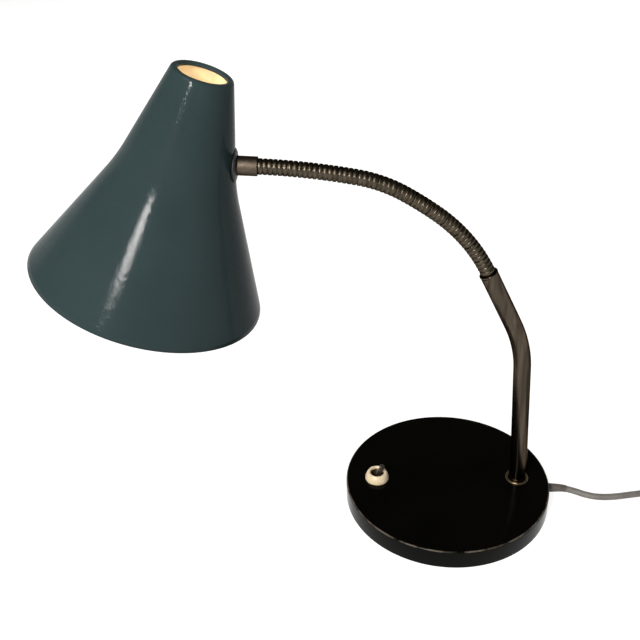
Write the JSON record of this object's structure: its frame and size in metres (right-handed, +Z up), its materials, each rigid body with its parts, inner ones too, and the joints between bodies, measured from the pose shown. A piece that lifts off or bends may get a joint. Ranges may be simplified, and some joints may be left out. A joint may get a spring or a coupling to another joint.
{
  "type": "gooseneck desk lamp",
  "caption": "Desk lamp with a round weighted base, a bent metal stem, a flexible ribbed neck and a conical enamelled shade that is open at the top, with a toggle switch and a mains cord.",
  "frame": {"origin": "centre of the round base, on its underside", "axes": "+Z up; +X from the switch to the stem, so that the shade reaches towards -X; the stem, neck and shade lie in the XZ plane"},
  "size_m": [0.5554, 0.1596, 0.3275],
  "materials": {
    "black_enamel": "gloss black stove enamel",
    "iron": "rough cast",
    "plate_steel": "dull plated steel",
    "felt": "green felt",
    "stem_chrome": "aged chrome",
    "neck_chrome": "aged chrome",
    "nickel": "worn nickel plate",
    "teal_enamel": "gloss enamel outside, cream inside",
    "black_rubber": "black rubber washer",
    "brass": "dull brass",
    "bakelite_black": "black moulded",
    "bakelite_cream": "cream moulded",
    "bakelite_brown": "dark brown moulded",
    "opal_glass": "opal",
    "ceramic_white": "glazed insulator",
    "cord_grey": "grey flexible sheath",
    "grommet_rubber": "brown rubber",
    "wire_sleeve": "insulated wire"
  },
  "bodies": {
    "base": {"ballast": "iron", "base_shell": "black_enamel", "bottom_plate": "plate_steel", "clamp_screws": "plate_steel", "cord_clamp": "plate_steel", "cord_coil": "cord_grey", "cord_grommet": "grommet_rubber", "felt_pad": "felt", "inner_wires": "wire_sleeve", "lever_pin": "plate_steel", "mains_cord": "cord_grey", "neck_socket": "neck_chrome", "plate_screws": "plate_steel", "plug_body": "bakelite_brown", "plug_lead": "cord_grey", "plug_pins": "brass", "stem_collar": "nickel", "stem_lead": "wire_sleeve", "stem_nipple": "brass", "stem_nut": "plate_steel", "stem_tube": "stem_chrome", "stem_washer": "plate_steel", "switch_body": "bakelite_black", "switch_bush": "nickel", "switch_ring": "bakelite_cream", "switch_terminals": "brass"},
    "lever": {"toggle_lever": "bakelite_brown"},
    "contact": {"contact_bridge": "brass"},
    "neck_01": {"neck_link_01": "neck_chrome"},
    "neck_02": {"neck_link_02": "neck_chrome"},
    "neck_03": {"neck_link_03": "neck_chrome"},
    "neck_04": {"neck_link_04": "neck_chrome"},
    "neck_05": {"neck_link_05": "neck_chrome"},
    "neck_06": {"neck_link_06": "neck_chrome"},
    "neck_07": {"neck_link_07": "neck_chrome"},
    "neck_08": {"neck_link_08": "neck_chrome"},
    "neck_09": {"neck_link_09": "neck_chrome"},
    "neck_10": {"neck_link_10": "neck_chrome"},
    "neck_11": {"neck_link_11": "neck_chrome"},
    "neck_12": {"neck_link_12": "neck_chrome"},
    "neck_13": {"neck_link_13": "neck_chrome"},
    "neck_14": {"neck_link_14": "neck_chrome", "neck_sleeve": "nickel", "shade_nipple": "brass", "shade_nut": "plate_steel"},
    "head": {"shade": "teal_enamel", "saddle_washer": "black_rubber", "holder_bracket": "plate_steel", "inner_washer": "plate_steel", "holder_nipple": "brass", "holder_nut": "plate_steel", "holder_cap": "bakelite_black", "holder_skirt": "bakelite_black", "holder_insert": "ceramic_white", "screw_shell": "brass", "centre_contact": "brass", "bulb_cap": "brass", "bulb_glass": "opal_glass", "holder_lead": "wire_sleeve"}
  },
  "joints": [
    {"name": "toggle_throw", "type": "hinge", "parent": "base", "child": "lever", "pos_m": [-0.052, 0, 0.014], "axis": [0, 1, 0], "range_deg": [-36, 0]},
    {"name": "contact_slide", "type": "slide", "parent": "base", "child": "contact", "axis": [1, 0, 0], "range_m": [0, 0.00335]},
    {"name": "neck_bend_01", "type": "hinge", "parent": "base", "child": "neck_01", "pos_m": [0.01815, 0, 0.18926], "axis": [0, -1, 0], "range_deg": [-11, 4.5]},
    {"name": "neck_sway_02", "type": "hinge", "parent": "neck_01", "child": "neck_02", "pos_m": [0.01218, 0, 0.19992], "axis": [0.8456, 0, 0.5338], "range_deg": [-7, 7]},
    {"name": "neck_bend_03", "type": "hinge", "parent": "neck_02", "child": "neck_03", "pos_m": [0.00512, 0, 0.20989], "axis": [0, -1, 0], "range_deg": [-11, 4.5]},
    {"name": "neck_sway_04", "type": "hinge", "parent": "neck_03", "child": "neck_04", "pos_m": [-0.00295, 0, 0.21906], "axis": [0.7146, 0, 0.6995], "range_deg": [-7, 7]},
    {"name": "neck_bend_05", "type": "hinge", "parent": "neck_04", "child": "neck_05", "pos_m": [-0.01194, 0, 0.22733], "axis": [0, -1, 0], "range_deg": [-11, 4.5]},
    {"name": "neck_sway_06", "type": "hinge", "parent": "neck_05", "child": "neck_06", "pos_m": [-0.02176, 0, 0.23459], "axis": [0.5747, 0, 0.8183], "range_deg": [-7, 7]},
    {"name": "neck_bend_07", "type": "hinge", "parent": "neck_06", "child": "neck_07", "pos_m": [-0.03193, 0, 0.24136], "axis": [0, -1, 0], "range_deg": [-11, 4.5]},
    {"name": "neck_sway_08", "type": "hinge", "parent": "neck_07", "child": "neck_08", "pos_m": [-0.04246, 0, 0.24755], "axis": [0.4487, 0, 0.8937], "range_deg": [-7, 7]},
    {"name": "neck_bend_09", "type": "hinge", "parent": "neck_08", "child": "neck_09", "pos_m": [-0.05372, 0, 0.2523], "axis": [0, -1, 0], "range_deg": [-11, 4.5]},
    {"name": "neck_sway_10", "type": "hinge", "parent": "neck_09", "child": "neck_10", "pos_m": [-0.0655, 0, 0.25553], "axis": [0.2235, 0, 0.9747], "range_deg": [-7, 7]},
    {"name": "neck_bend_11", "type": "hinge", "parent": "neck_10", "child": "neck_11", "pos_m": [-0.07751, 0, 0.25776], "axis": [0, -1, 0], "range_deg": [-11, 4.5]},
    {"name": "neck_sway_12", "type": "hinge", "parent": "neck_11", "child": "neck_12", "pos_m": [-0.08958, 0, 0.25966], "axis": [0.1426, 0, 0.9898], "range_deg": [-7, 7]},
    {"name": "neck_bend_13", "type": "hinge", "parent": "neck_12", "child": "neck_13", "pos_m": [-0.10169, 0, 0.26124], "axis": [0, -1, 0], "range_deg": [-11, 4.5]},
    {"name": "neck_sway_14", "type": "hinge", "parent": "neck_13", "child": "neck_14", "pos_m": [-0.11384, 0, 0.2625], "axis": [0.0894, 0, 0.996], "range_deg": [-7, 7]},
    {"name": "shade_swivel", "type": "hinge", "parent": "neck_14", "child": "head", "pos_m": [-0.13955, 0, 0.26428], "axis": [0.998, 0, -0.0628], "range_deg": [-45, 45]}
  ],
  "couplings": [
    {"joint": "contact_slide", "follows": "toggle_throw", "m_per_rad": -0.005171},
    {"joint": "neck_bend_03", "follows": "neck_bend_01", "ratio": 1},
    {"joint": "neck_sway_04", "follows": "neck_sway_02", "ratio": 1},
    {"joint": "neck_bend_05", "follows": "neck_bend_01", "ratio": 1},
    {"joint": "neck_sway_06", "follows": "neck_sway_02", "ratio": 1},
    {"joint": "neck_bend_07", "follows": "neck_bend_01", "ratio": 1},
    {"joint": "neck_sway_08", "follows": "neck_sway_02", "ratio": 1},
    {"joint": "neck_bend_09", "follows": "neck_bend_01", "ratio": 1},
    {"joint": "neck_sway_10", "follows": "neck_sway_02", "ratio": 1},
    {"joint": "neck_bend_11", "follows": "neck_bend_01", "ratio": 1},
    {"joint": "neck_sway_12", "follows": "neck_sway_02", "ratio": 1},
    {"joint": "neck_bend_13", "follows": "neck_bend_01", "ratio": 1},
    {"joint": "neck_sway_14", "follows": "neck_sway_02", "ratio": 1}
  ]
}
